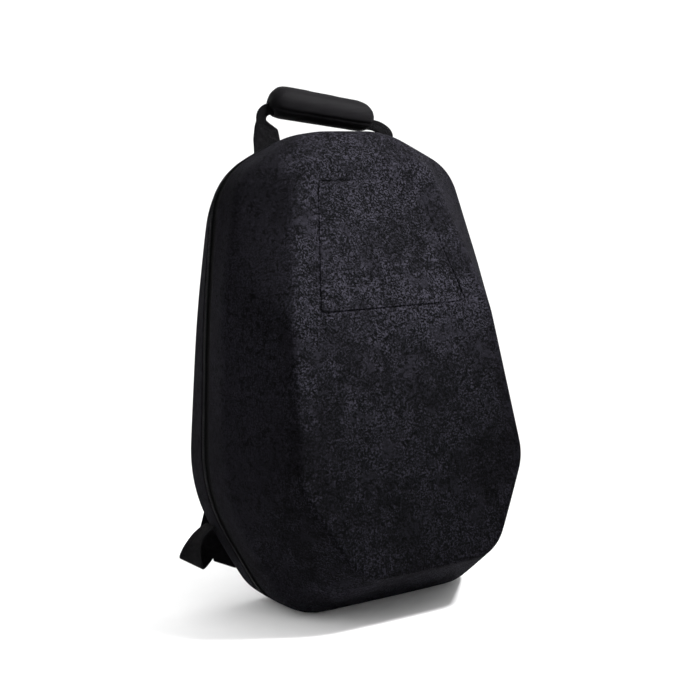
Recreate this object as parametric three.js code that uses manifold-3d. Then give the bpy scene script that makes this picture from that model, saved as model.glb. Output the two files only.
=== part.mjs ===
// Hard-shell backpack for a game console, closed and standing on its base.
// Millimetres, +Z up, front towards -Y. y = 0 lies in the zip until the pack is centred on its base.

import * as THREE from "three";
import { mergeVertices } from "three/addons/utils/BufferGeometryUtils.js";
import Module from "manifold-3d";

const wasm = await Module();
wasm.setup();

// Clearance between pieces that are sewn or pressed together.
const GAP = 0.3;

// Moulded shells: wall, depth of each section in front of or behind y = 0, and how far edges are eased.
const WALL = 4;
const BELT_DEPTH = 44;
const BACK_DEPTH = 52;
const BELT_EDGE = 8;
const PANEL_EDGE = 14;
const BACK_EDGE = 12;
const CORNER_STEPS = 4;
const EDGE_STEPS = 3;

// Right-hand corners of the pack: crown, shoulder, waist, hip and foot. Each section gives half-width,
// height and how far the corner is eased: the zip seam, the end of the straight belt, the front panel and
// the back panel.
const CORNERS = [
  { seam: [44, 458.8, 22], belt: [42, 455.5, 22], panel: [60, 425, 10], back: [40, 451.8, 22] },
  { seam: [122, 421, 42], belt: [114.5, 417, 24], panel: [73, 409, 14], back: [110, 415, 42] },
  { seam: [142.5, 290, 40], belt: [143, 300, 40], panel: [103, 277, 10], back: [137, 290, 40] },
  { seam: [160.5, 121, 48], belt: [157, 121, 48], panel: [115.5, 134, 14], back: [162, 121, 48] },
  { seam: [103, 0, 34], belt: [100, 0, 34], panel: [71, 49, 26], back: [102, 0, 34] },
];

// Side profile of the front panel: two flat facets that meet at a knee.
const PANEL_PROFILE = [
  { z: 425, depth: 67 },
  { z: 277, depth: 111 },
  { z: 49, depth: 139 },
];
const PANEL_CENTRE = 250;
const PANEL_INSET = 0.82;

// Plain debossed frame on the upper facet.
const FRAME = { top: 404, bottom: 284, topHalf: 51, bottomHalf: 76, corner: 7, width: 2.2, depth: 1.2 };

// Zip: the gap between the shells, the tape below their surface and the coil on it.
const ZIP = { front: -9, back: 10 };
const TAPE = { from: 1.5, to: 3.1 };
const COIL = { from: 0.3, to: 1.2, front: 0.5, back: 8.5 };
const SLIDER = { height: 215, body: [3.4, 9.5, 14], pull: [1.6, 7, 30], lift: 0.4, overlap: 4 };

// Handle webbing, left anchor to right anchor, in one plane. Turn is the angle of the width from +X.
const HANDLE_Y = 13;
const HANDLE_ROWS = [
  { x: -61, z: 450.4, turn: 26.5, width: 33, thick: 2 },
  { x: -61.5, z: 461.5, turn: 20, width: 29, thick: 2.2 },
  { x: -65, z: 474.5, turn: 4, width: 11, thick: 4 },
  { x: -62.5, z: 482.5, turn: -45, width: 11, thick: 4 },
  { x: -55, z: 486.4, turn: -85, width: 11, thick: 4 },
  { x: -44, z: 485, turn: -98, width: 11, thick: 4 },
  { x: 47, z: 472.6, turn: -98, width: 11, thick: 4 },
  { x: 59, z: 470.8, turn: -100, width: 11, thick: 4 },
  { x: 68, z: 467.5, turn: -118, width: 12, thick: 4 },
  { x: 74, z: 461, turn: -152, width: 15, thick: 3.4 },
  { x: 70, z: 455.5, turn: -190, width: 22, thick: 2.4 },
  { x: 61, z: 450.4, turn: -206.5, width: 29, thick: 2 },
];
const GRIP = { x: 1.5, z: 485, tilt: 8.2, length: 115, radius: 16, end: 14, flatten: 0.9, sides: 20 };
const GRIP_SLOT = { width: 12.2, thick: 5, drop: 6.2 };

// Shoulder strap on the right-hand side, from the back panel down to its adjuster.
const PAD_ROWS = [
  { x: 43.2, y: 54.1, z: 424, turn: 8, width: 44, thick: 4 },
  { x: 45.4, y: 58, z: 412, turn: 8, width: 51, thick: 8 },
  { x: 50, y: 66, z: 396, turn: 10, width: 58, thick: 13 },
  { x: 60, y: 76, z: 350, turn: 13, width: 62, thick: 14 },
  { x: 73, y: 82, z: 300, turn: 15, width: 60, thick: 14 },
  { x: 87, y: 79, z: 250, turn: 14, width: 56, thick: 14 },
  { x: 98, y: 73, z: 208, turn: 13, width: 50, thick: 13 },
  { x: 103, y: 71, z: 190, turn: 13, width: 38, thick: 8 },
  { x: 105.4, y: 70.6, z: 181, turn: 13, width: 25, thick: 2.6 },
  { x: 106.8, y: 70.2, z: 175.5, turn: 13, width: 25, thick: 2.4 },
  { x: 107.5, y: 66.5, z: 172.8, turn: 13, width: 25, thick: 2.4 },
];
const PAD_SIDES = 12;

// Lower webbing on the right-hand side: from its free end up through the adjuster, down in a slack loop
// and up to the side of the back shell. Twist swings the width towards +Y.
const WEB = { width: 25, thick: 1.8 };
const WEB_ROWS = [
  { x: 126.5, y: 71.5, z: 36, turn: 27, twist: 0 },
  { x: 126, y: 71.5, z: 50, turn: 22, twist: 0 },
  { x: 123, y: 71.6, z: 76, turn: 18, twist: 0 },
  { x: 119, y: 71.8, z: 110, turn: 15, twist: 0 },
  { x: 112.5, y: 71, z: 148, turn: 13, twist: 0 },
  { x: 111.1, y: 70.2, z: 156.5, turn: 13, twist: 0 },
  { x: 110.6, y: 66, z: 159.6, turn: 13, twist: 0 },
  { x: 111.1, y: 61.8, z: 156.5, turn: 13, twist: 0 },
  { x: 112.5, y: 61.4, z: 148, turn: 13, twist: 0 },
  { x: 126, y: 63.5, z: 98, turn: 15, twist: 0 },
  { x: 134, y: 64.5, z: 74, turn: 18, twist: 0 },
  { x: 143, y: 64, z: 56, turn: 24, twist: 4 },
  { x: 153, y: 61, z: 47.5, turn: 30, twist: 16 },
  { x: 160.5, y: 55.5, z: 46.5, turn: 33, twist: 30 },
  { x: 162.5, y: 49, z: 56, turn: 20, twist: 56 },
  { x: 160.5, y: 42.5, z: 68, turn: 8, twist: 76 },
  { x: 154, y: 38.5, z: 78, turn: 3, twist: 86 },
  { x: 144.3, y: 36.3, z: 84.5, turn: 0, twist: 90 },
];

// Strap adjuster: a flat plate with two slots.
const ADJUSTER = { x: 109, y: 66, z: 166, turn: 13, width: 36, height: 30, thick: 4.5, corner: 4 };
const SLOT = { width: 28, height: 5.4, offset: 7 };

const STEPS_PER_ROW = 3;
const BACKWARDS = new THREE.Vector3(0, 1, 0);

// Surface helpers

function towards(from, to, distance) {
  const share = Math.min(distance / from.distanceTo(to), 0.49);
  return from.clone().lerp(to, share);
}

// Closed outline through the right-hand corners and their mirror images, every corner eased by a curve.
function outline(section, yAt) {
  const right = CORNERS.map((corner) => {
    const [x, z, reach] = corner[section];
    return { point: new THREE.Vector3(x, yAt(z), z), reach };
  });
  const left = right.map(({ point, reach }) => (
    { point: new THREE.Vector3(-point.x, point.y, point.z), reach }
  ));
  const corners = [...right, ...left.reverse()];
  return corners.flatMap(({ point, reach }, i) => {
    const before = corners.at(i - 1).point;
    const after = corners[(i + 1) % corners.length].point;
    const curve = new THREE.QuadraticBezierCurve3(
      towards(point, before, reach),
      point,
      towards(point, after, reach),
    );
    return curve.getPoints(CORNER_STEPS);
  });
}

// Rings that ease an edge, from the face before it to the face after it.
function easedEdge(before, edge, after, reach) {
  const curves = edge.map((point, i) => new THREE.QuadraticBezierCurve3(
    towards(point, before[i], reach),
    point,
    towards(point, after[i], reach),
  ));
  const steps = Array.from({ length: EDGE_STEPS + 1 }, (_, step) => step / EDGE_STEPS);
  return steps.map((share) => curves.map((curve) => curve.getPoint(share)));
}

function alongRing(ring, i) {
  return ring[(i + 1) % ring.length].clone().sub(ring.at(i - 1));
}

// An outline moved inwards in its own plane.
function inset(ring, distance) {
  return ring.map((point, i) => {
    const inwards = BACKWARDS.clone().cross(alongRing(ring, i)).normalize();
    return point.clone().addScaledVector(inwards, distance);
  });
}

// Inner skin of a shell, one wall thickness inside its outer rings. The first ring is the mouth.
function innerSkin(rings) {
  const middle = new THREE.Vector3(0, rings.at(-1)[0].y / 2, PANEL_CENTRE);
  const deeper = rings.slice(1).map((ring, j) => ring.map((point, i) => {
    const after = rings[j + 2] ?? ring;
    const inwards = alongRing(ring, i).cross(after[i].clone().sub(rings[j][i])).normalize();
    const side = Math.sign(inwards.dot(middle.clone().sub(point)));
    return point.clone().addScaledVector(inwards, side * WALL);
  }));
  return [inset(rings[0], WALL), ...deeper];
}

function enclosedVolume(points, index) {
  let volume = 0;
  for (let i = 0; i < index.length; i += 3) {
    const [a, b, c] = index.slice(i, i + 3).map((k) => points[k]);
    volume += a.dot(b.clone().cross(c)) / 6;
  }
  return volume;
}

// Closed surface over a row of rings. Its ends are capped by strips, or joined to each other in a loop.
function loft(rings, loop = false) {
  const size = rings[0].length;
  const index = [];
  const quad = (a, b, c, d) => index.push(a, b, c, a, c, d);
  const spans = loop ? rings.length : rings.length - 1;
  for (let j = 0; j < spans; j += 1) {
    const here = j * size;
    const there = ((j + 1) % rings.length) * size;
    for (let i = 0; i < size; i += 1) {
      const next = (i + 1) % size;
      quad(here + i, there + i, there + next, here + next);
    }
  }
  const last = (rings.length - 1) * size;
  for (let i = 0; !loop && i + 1 < size / 2; i += 1) {
    quad(i, i + 1, size - 2 - i, size - 1 - i);
    quad(last + size - 1 - i, last + size - 2 - i, last + i + 1, last + i);
  }
  const points = rings.flat();
  if (enclosedVolume(points, index) < 0) {
    index.reverse();
  }
  return new THREE.BufferGeometry().setFromPoints(points).setIndex(index);
}

// Strip swept through table rows: a smooth path, with angle, width and thickness blended between the rows.
function strip(rows, section) {
  const path = new THREE.CatmullRomCurve3(rows.map(({ x, y, z }) => new THREE.Vector3(x, y, z)));
  const spans = rows.length - 1;
  const stations = Array.from({ length: spans * STEPS_PER_ROW + 1 }, (_, k) => k / STEPS_PER_ROW);
  const rings = stations.map((station) => {
    const row = Math.min(Math.floor(station), spans - 1);
    const share = station - row;
    const [here, there] = rows.slice(row, row + 2);
    const blend = (column) => THREE.MathUtils.lerp(here[column] ?? 0, there[column] ?? 0, share);
    const turn = THREE.MathUtils.degToRad(blend("turn"));
    const twist = THREE.MathUtils.degToRad(blend("twist"));
    const across = new THREE.Vector3(Math.cos(turn), 0, Math.sin(turn));
    across.multiplyScalar(Math.cos(twist)).addScaledVector(BACKWARDS, Math.sin(twist));
    const facing = across.clone().cross(path.getTangent(station / spans)).normalize();
    const centre = path.getPoint(station / spans);
    return section(blend("width"), blend("thick")).map(([u, v]) => (
      centre.clone().addScaledVector(across, u).addScaledVector(facing, v)
    ));
  });
  return loft(rings);
}

function flatSection(width, thick) {
  const [u, v] = [width / 2, thick / 2];
  return [[u, v], [-u, v], [-u, -v], [u, -v]];
}

function paddedSection(width, thick) {
  return Array.from({ length: PAD_SIDES }, (_, k) => {
    const angle = ((k + 0.5) / PAD_SIDES) * 2 * Math.PI;
    const soften = (value) => Math.sign(value) * Math.sqrt(Math.abs(value));
    return [(width / 2) * soften(Math.cos(angle)), (thick / 2) * soften(Math.sin(angle))];
  });
}

function mirroredRows(rows) {
  return rows.map((row) => ({ ...row, x: -row.x, turn: 180 - row.turn }));
}

// Solids for joining and cutting

function solidOf(geometry) {
  const bare = geometry.clone();
  bare.deleteAttribute("normal");
  bare.deleteAttribute("uv");
  const welded = mergeVertices(bare);
  return new wasm.Manifold(new wasm.Mesh({
    numProp: 3,
    vertProperties: new Float32Array(welded.attributes.position.array),
    triVerts: new Uint32Array(welded.index.array),
  }));
}

function geometryOf(solid) {
  const { vertProperties, triVerts } = solid.getMesh();
  const geometry = new THREE.BufferGeometry();
  geometry.setAttribute("position", new THREE.BufferAttribute(vertProperties, 3));
  geometry.setIndex(new THREE.BufferAttribute(triVerts, 1));
  return geometry;
}

// Path anticlockwise round a polygon with eased corners, for a shape or for a hole in one.
function easedPath(path, corners, ease) {
  corners.forEach((corner, i) => {
    const point = new THREE.Vector2(...corner);
    const before = towards(point, new THREE.Vector2(...corners.at(i - 1)), ease);
    const after = towards(point, new THREE.Vector2(...corners[(i + 1) % corners.length]), ease);
    if (i === 0) {
      path.moveTo(before.x, before.y);
    } else {
      path.lineTo(before.x, before.y);
    }
    path.quadraticCurveTo(point.x, point.y, after.x, after.y);
  });
  return path;
}

function rectangle(width, height, centre = 0) {
  const [u, v] = [width / 2, height / 2];
  return [[u, centre + v], [-u, centre + v], [-u, centre - v], [u, centre - v]];
}

function plateOf(shape, depth) {
  return new THREE.ExtrudeGeometry(shape, { depth, bevelEnabled: false, curveSegments: CORNER_STEPS });
}

// Shells

function panelDepth(z) {
  const upper = z > PANEL_PROFILE[1].z ? 0 : 1;
  const [high, low] = PANEL_PROFILE.slice(upper, upper + 2);
  return THREE.MathUtils.mapLinear(z, high.z, low.z, high.depth, low.depth);
}

function hollowShell(rings) {
  return loft([...rings.toReversed(), ...innerSkin(rings)]);
}

function frameGroove() {
  const [high, knee] = PANEL_PROFILE;
  const lean = Math.atan2(knee.depth - high.depth, high.z - knee.z);
  const half = (FRAME.top - FRAME.bottom) / 2 / Math.cos(lean);
  const middle = (FRAME.top + FRAME.bottom) / 2;
  const corners = (grow) => [
    [FRAME.topHalf + grow, half + grow],
    [-FRAME.topHalf - grow, half + grow],
    [-FRAME.bottomHalf - grow, -half - grow],
    [FRAME.bottomHalf + grow, -half - grow],
  ];
  const shape = easedPath(new THREE.Shape(), corners(FRAME.width / 2), FRAME.corner);
  shape.holes.push(easedPath(new THREE.Path(), corners(-FRAME.width / 2), FRAME.corner));
  const cutter = plateOf(shape, 4 * FRAME.depth);
  cutter.translate(0, 0, -FRAME.depth);
  cutter.rotateX(Math.PI / 2 - lean);
  cutter.translate(0, -panelDepth(middle), middle);
  return cutter;
}

function frontShell() {
  const seam = outline("seam", () => ZIP.front);
  const belt = outline("belt", () => -BELT_DEPTH);
  const edge = outline("panel", (z) => -panelDepth(z));
  const field = edge.map(({ x, z }) => {
    const height = THREE.MathUtils.lerp(PANEL_CENTRE, z, PANEL_INSET);
    return new THREE.Vector3(x * PANEL_INSET, -panelDepth(height), height);
  });
  const shell = hollowShell([
    seam,
    ...easedEdge(seam, belt, edge, BELT_EDGE),
    ...easedEdge(belt, edge, field, PANEL_EDGE),
  ]);
  return geometryOf(solidOf(shell).subtract(solidOf(frameGroove())));
}

function backShell() {
  const mouth = outline("seam", () => ZIP.back);
  const edge = outline("back", () => BACK_DEPTH);
  const field = inset(edge, 2 * BACK_EDGE);
  return hollowShell([mouth, ...easedEdge(mouth, edge, field, BACK_EDGE)]);
}

// Zip

// Ring round the pack between two heights below its surface and two places from front to back.
function ringBand(from, to, yFront, yBack) {
  const ring = (y, depth) => inset(outline("seam", () => y), depth);
  return loft([ring(yFront, from), ring(yBack, from), ring(yBack, to), ring(yFront, to)], true);
}

function zipTape() {
  return ringBand(TAPE.from, TAPE.to, ZIP.front + GAP, ZIP.back - GAP);
}

function zipCoil() {
  return ringBand(COIL.from, COIL.to, COIL.front, COIL.back);
}

function zipSlider() {
  const body = new THREE.BoxGeometry(...SLIDER.body);
  const pull = new THREE.BoxGeometry(...SLIDER.pull);
  pull.translate(0, 0, SLIDER.overlap - (SLIDER.body[2] + SLIDER.pull[2]) / 2);
  const slider = geometryOf(solidOf(body).add(solidOf(pull)));
  const [waist, hip] = CORNERS.slice(2, 4).map((corner) => corner.seam);
  const lean = Math.atan2(hip[0] - waist[0], waist[1] - hip[1]);
  const surface = THREE.MathUtils.mapLinear(SLIDER.height, waist[1], hip[1], waist[0], hip[0]);
  slider.rotateY(-lean);
  slider.translate(surface + SLIDER.lift + SLIDER.body[0] / 2, (COIL.front + COIL.back) / 2, SLIDER.height);
  return slider;
}

// Handle and straps

function handleStrap() {
  return strip(HANDLE_ROWS.map((row) => ({ ...row, y: HANDLE_Y })), flatSection);
}

// Roll with rounded ends, turned about its own axis, with a slot below the axis for the webbing.
function handleGrip() {
  const half = GRIP.length / 2;
  const shoulder = half - GRIP.end;
  const profile = new THREE.Path();
  profile.moveTo(0, -half);
  profile.lineTo(GRIP.radius - GRIP.end, -half);
  profile.quadraticCurveTo(GRIP.radius, -half, GRIP.radius, -shoulder);
  profile.lineTo(GRIP.radius, shoulder);
  profile.quadraticCurveTo(GRIP.radius, half, GRIP.radius - GRIP.end, half);
  profile.lineTo(0, half);
  const roll = new THREE.LatheGeometry(profile.getPoints(CORNER_STEPS), GRIP.sides);
  roll.rotateZ(Math.PI / 2);
  roll.scale(1, GRIP.flatten, 1);
  const slot = new THREE.BoxGeometry(2 * GRIP.length, GRIP_SLOT.thick, GRIP_SLOT.width);
  slot.translate(0, 0, -GRIP_SLOT.drop);
  const grip = geometryOf(solidOf(roll).subtract(solidOf(slot)));
  grip.rotateY(THREE.MathUtils.degToRad(GRIP.tilt));
  grip.translate(GRIP.x, HANDLE_Y, GRIP.z);
  return grip;
}

function adjuster(side) {
  const shape = easedPath(new THREE.Shape(), rectangle(ADJUSTER.width, ADJUSTER.height), ADJUSTER.corner);
  for (const offset of [SLOT.offset, -SLOT.offset]) {
    const slot = rectangle(SLOT.width, SLOT.height, offset);
    shape.holes.push(easedPath(new THREE.Path(), slot, SLOT.height / 4));
  }
  const plate = plateOf(shape, ADJUSTER.thick);
  plate.translate(0, 0, -ADJUSTER.thick / 2);
  plate.rotateX(Math.PI / 2);
  plate.rotateY(-side * THREE.MathUtils.degToRad(ADJUSTER.turn));
  plate.translate(side * ADJUSTER.x, ADJUSTER.y, ADJUSTER.z);
  return plate;
}

// Assembly

const FINISHES = {
  velvet: { color: 0x212025, roughness: 0.95, metalness: 0 },
  tape: { color: 0x131315, roughness: 0.9, metalness: 0 },
  coil: { color: 0x1c1c1f, roughness: 0.55, metalness: 0 },
  webbing: { color: 0x1a191c, roughness: 0.85, metalness: 0 },
  satin: { color: 0x232226, roughness: 0.6, metalness: 0 },
  mesh: { color: 0x1b1a1d, roughness: 0.9, metalness: 0 },
  plastic: { color: 0x151517, roughness: 0.45, metalness: 0 },
};

const pack = new THREE.Group();

function addPiece(name, geometry, finish) {
  const piece = new THREE.Mesh(geometry, new THREE.MeshStandardMaterial(FINISHES[finish]));
  piece.name = name;
  pack.add(piece);
}

addPiece("front_shell", frontShell(), "velvet");
addPiece("back_shell", backShell(), "velvet");
addPiece("zip_tape", zipTape(), "tape");
addPiece("zip_coil", zipCoil(), "coil");
addPiece("zip_slider", zipSlider(), "plastic");
addPiece("handle_strap", handleStrap(), "webbing");
addPiece("handle_grip", handleGrip(), "satin");
for (const [side, name] of [[-1, "left"], [1, "right"]]) {
  const rowsOf = (rows) => (side < 0 ? mirroredRows(rows) : rows);
  addPiece(`shoulder_pad_${name}`, strip(rowsOf(PAD_ROWS), paddedSection), "mesh");
  addPiece(`adjuster_${name}`, adjuster(side), "plastic");
  const web = rowsOf(WEB_ROWS).map((row) => ({ ...row, ...WEB }));
  addPiece(`strap_web_${name}`, strip(web, flatSection), "webbing");
}

const box = new THREE.Box3().setFromObject(pack);
const centre = box.getCenter(new THREE.Vector3());
pack.position.set(-centre.x, -centre.y, -box.min.z);

export default pack;
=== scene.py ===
"""Finished looks of a hard-shell console backpack, modelled on its packed CAD frame."""

import math

import bmesh
import bpy
from mathutils import Matrix, Vector


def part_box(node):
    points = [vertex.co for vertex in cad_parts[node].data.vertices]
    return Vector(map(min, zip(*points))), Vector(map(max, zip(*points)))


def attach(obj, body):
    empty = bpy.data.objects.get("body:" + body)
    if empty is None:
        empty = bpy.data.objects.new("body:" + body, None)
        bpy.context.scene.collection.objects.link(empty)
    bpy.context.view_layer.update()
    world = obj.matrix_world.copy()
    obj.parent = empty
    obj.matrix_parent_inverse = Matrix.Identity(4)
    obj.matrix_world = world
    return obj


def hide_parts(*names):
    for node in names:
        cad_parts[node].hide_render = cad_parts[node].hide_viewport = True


bl_info = {
    "name": "Console Backpack",
    "version": (1, 0, 0),
    "blender": (4, 5, 0),
    "location": "View3D > Sidebar > Backpack",
    "description": "Models the shells, zip, handle and straps of a moulded console backpack",
    "category": "Object",
}

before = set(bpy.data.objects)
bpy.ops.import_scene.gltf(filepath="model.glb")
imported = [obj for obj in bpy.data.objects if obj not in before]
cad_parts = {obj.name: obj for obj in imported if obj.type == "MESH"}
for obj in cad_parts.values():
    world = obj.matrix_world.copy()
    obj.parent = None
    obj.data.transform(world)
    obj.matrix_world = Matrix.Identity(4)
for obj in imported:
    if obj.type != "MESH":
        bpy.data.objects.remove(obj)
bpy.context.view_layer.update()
MM = 0.001

# Lengths in the tables are millimetres from the CAD's own origin: x to the right, y to the back, z up from
# the floor. Turns are in degrees. A length in metres says so.
ZIP_BACK = 10
ORIGIN_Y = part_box("back_shell")[0].y - ZIP_BACK * MM
ZIP_FRONT = (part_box("front_shell")[1].y - ORIGIN_Y) / MM
BACK_DEPTH = (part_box("back_shell")[1].y - ORIGIN_Y) / MM

# Right-hand corners, each as seam, end of the belt, front panel and back panel: half-width, height, ease.
CORNERS = (
    ((44, 458.8, 22), (42, 455.5, 22), (60, 425, 10), (40, 451.8, 22)),
    ((122, 421, 42), (114.5, 417, 24), (73, 409, 14), (110, 415, 42)),
    ((142.5, 290, 40), (143, 300, 40), (103, 277, 10), (137, 290, 40)),
    ((160.5, 121, 48), (157, 121, 48), (115.5, 134, 14), (162, 121, 48)),
    ((103, 0, 34), (100, 0, 34), (71, 49, 26), (102, 0, 34)),
)
SEAM, BELT, PANEL, BACK = range(4)

# Depth of the belt's front edge, and height of the middle of the back.
BELT_DEPTH = 44
BACK_CENTRE_Z = 235

# Front panel: its knee, and the height and depth of its two ends.
KNEE_Z = 277
KNEE_DEPTH = 111
PANEL_TOP = (425, 67)
PANEL_FOOT = (49, 139)

# Shell faces: lip as a share of the first wall, inner ring as a share of the face, cuts across the ring.
LIP_SHARE = 0.09
FIELD_SHARE = 0.74
FIELD_CUTS = 11

# Debossed frame on the upper facet: x, z and lift of its line as a share of its radius. Ease in metres.
FRAME_CORNERS = ((51, 404, 0.82), (76, 284, 0.35), (-76, 284, 0.1), (-51, 404, 0.3))
FRAME_EASE = 0.007

# Room between the zip's tape and each shell.
TAPE_PLAY = 0.3

# Handle webbing from its left anchor to its right one: x, y, z, turn of the width, width.
HANDLE_ROWS = (
    (-60.8, 13, 447.8, 26.5, 33),
    (-61.5, 13, 461.5, 20, 29),
    (-65, 13, 474.5, 4, 11),
    (-62.5, 13, 482.5, -45, 11),
    (-55, 13, 486.4, -85, 11),
    (-44, 13, 485, -98, 11),
    (47, 13, 472.6, -98, 11),
    (59, 13, 470.8, -100, 11),
    (68, 13, 467.5, -118, 12),
    (74, 13, 461, -152, 15),
    (70, 13, 455.5, -190, 22),
    (60, 13, 448.6, -206.5, 29),
)

# Its full and folded widths, the hem behind it, and how far the folded side stops short of the other.
HANDLE_WIDE = 33
HANDLE_NARROW = 11
HANDLE_HEM = 2
FOLD_SHORT = 3.5

# Padded grip: its middle, its tilt, and half its length in metres.
GRIP_CENTRE = (1.5, 13, 485)
GRIP_TILT = math.radians(8.2)
GRIP_HALF = 0.0575

# Lapped seam along the grip: angle below its front, then groove and raised lap in metres.
SEAM_ANGLE = math.radians(-34)
SEAM_WIDTH = 0.0014
SEAM_DEPTH = 0.0008
LAP_RISE = 0.0006
LAP_FADE = 0.006

# Fullness of the grip's middle as a share of its radius, its loss towards the right, and its loss below.
FULL_MIDDLE = 0.08
FULL_TAPER = 0.07
FULL_BELOW = 0.8

# Shoulders of the grip drop from a share of its half-length on, and its underside lifts, both in metres.
SHOULDER_START = 0.62
SHOULDER_DROP = 0.0042
UNDERSIDE_START = 0.7
UNDERSIDE_LIFT = 0.006

# Right-hand shoulder pad: x, y, z, turn, width, thickness.
PAD_ROWS = (
    (43.2, 54.1, 424, 8, 44, 4),
    (45.4, 58, 412, 8, 51, 8),
    (50, 66, 396, 10, 58, 13),
    (60, 76, 350, 13, 62, 14),
    (73, 82, 300, 15, 60, 14),
    (87, 79, 250, 14, 56, 14),
    (98, 73, 208, 13, 50, 13),
    (103, 71, 190, 13, 38, 8),
)

# Binding round a pad's edge, from face to rim: distance past the rim in metres, share of half the pad.
BINDING_ROWS = ((-0.008, 1), (-0.004, 0.95), (0.0004, 0.5), (0.0006, 0))

# Right-hand webbing from the pad round the adjuster's upper bar and back: x, y, z, turn, twist.
TAIL_ROWS = (
    (100.5, 72.2, 199, 13, 0),
    (103, 71.2, 190, 13, 0),
    (105.4, 70.8, 181, 13, 0),
    (106.8, 70.2, 175.5, 13, 0),
    (107.5, 66.2, 172.8, 13, 0),
    (106.8, 62.4, 175.5, 13, 0),
    (105.2, 62.4, 182, 13, 0),
    (103, 66, 190, 13, 0),
    (100.5, 69, 199, 13, 0),
)

# Right-hand webbing from its free end, round the adjuster's lower bar and in a loop to the back shell.
WEB_ROWS = (
    (121, 71.5, 34.5, 27, 0),
    (121.4, 71.5, 50, 22, 0),
    (120.4, 71.6, 76, 18, 0),
    (119, 71.8, 110, 15, 0),
    (112.5, 71, 148, 13, 0),
    (111.1, 70.2, 156.5, 13, 0),
    (110.6, 66, 159.6, 13, 0),
    (111.1, 61.8, 156.5, 13, 0),
    (112.5, 61.4, 148, 13, 0),
    (126, 63.5, 98, 15, 0),
    (134, 64.5, 74, 18, 0),
    (143, 64, 56, 24, 4),
    (153, 61, 47.5, 30, 16),
    (160.5, 55.5, 46.5, 33, 30),
    (162.5, 49, 56, 20, 56),
    (160.5, 42.5, 68, 8, 76),
    (154, 38.5, 78, 3, 86),
    (143.8, 36.3, 84.8, 0, 90),
)

# Point that the camera looks at.
CAMERA_AIM = (-19.64, -49.63, 246.3)

# Floor from its flat middle up its rim: radius and height in metres.
FLOOR_ROWS = ((1.6, 0), (2.4, 0), (2.9, 0.08), (3.3, 0.35), (3.5, 0.8), (3.55, 1.4), (3.55, 3))
FLOOR_STEPS = 96

# Points nearer than this, in metres, are one point.
MERGE = 0.00001

# Filling of padded pieces: pressure of the cloth and moments that it settles for.
FILL_PRESSURE = 4
FILL_MOMENTS = 20


class ShellSettings(bpy.types.PropertyGroup):
    """Moulded shells and their napped cover"""

    wall: bpy.props.FloatProperty(
        name="Wall", description="Thickness of the moulded wall", default=0.004, unit="LENGTH"
    )
    belt_edge: bpy.props.FloatProperty(
        name="Belt Edge", description="Reach of the eased edge of the belt", default=0.008, unit="LENGTH"
    )
    panel_edge: bpy.props.FloatProperty(
        name="Panel Edge", description="Reach of the panel's eased edge", default=0.0045, unit="LENGTH"
    )
    back_edge: bpy.props.FloatProperty(
        name="Back Edge", description="Reach of the eased edge of the back", default=0.012, unit="LENGTH"
    )
    groove: bpy.props.FloatProperty(
        name="Groove", description="Radius of the debossed frame line", default=0.0015, unit="LENGTH"
    )
    steps: bpy.props.IntProperty(
        name="Corner Steps", description="Steps round each corner", default=6, min=2
    )
    nap_dark: bpy.props.FloatVectorProperty(
        name="Nap Shade", description="Colour where the pile lies flat", size=4, subtype="COLOR",
        default=(0.0004, 0.00039, 0.00048, 1),
    )
    nap_light: bpy.props.FloatVectorProperty(
        name="Nap Light", description="Colour of the raised fibre tips", size=4, subtype="COLOR",
        default=(0.0152, 0.0144, 0.0192, 1),
    )


class ZipSettings(bpy.types.PropertyGroup):
    """Zip round the seam"""

    pitch: bpy.props.FloatProperty(
        name="Pitch", description="Distance from tooth to tooth", default=0.0015, unit="LENGTH"
    )
    reach: bpy.props.FloatProperty(
        name="Tooth Reach", description="Half-width of the row of teeth", default=0.004, unit="LENGTH"
    )
    teeth_inset: bpy.props.FloatProperty(
        name="Teeth Inset", description="Depth of the teeth below the seam", default=0.0008, unit="LENGTH"
    )
    tape_inset: bpy.props.FloatProperty(
        name="Tape Inset", description="Depth of the tape below the seam", default=0.0023, unit="LENGTH"
    )
    tape_thickness: bpy.props.FloatProperty(
        name="Tape Thickness", description="Thickness of the tape", default=0.0014, unit="LENGTH"
    )
    teeth_colour: bpy.props.FloatVectorProperty(
        name="Teeth", description="Colour of the teeth", size=4, subtype="COLOR",
        default=(0.004, 0.004, 0.0044, 1),
    )
    tape_colour: bpy.props.FloatVectorProperty(
        name="Tape", description="Colour of the tape", size=4, subtype="COLOR",
        default=(0.0014, 0.0014, 0.00154, 1),
    )


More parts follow.
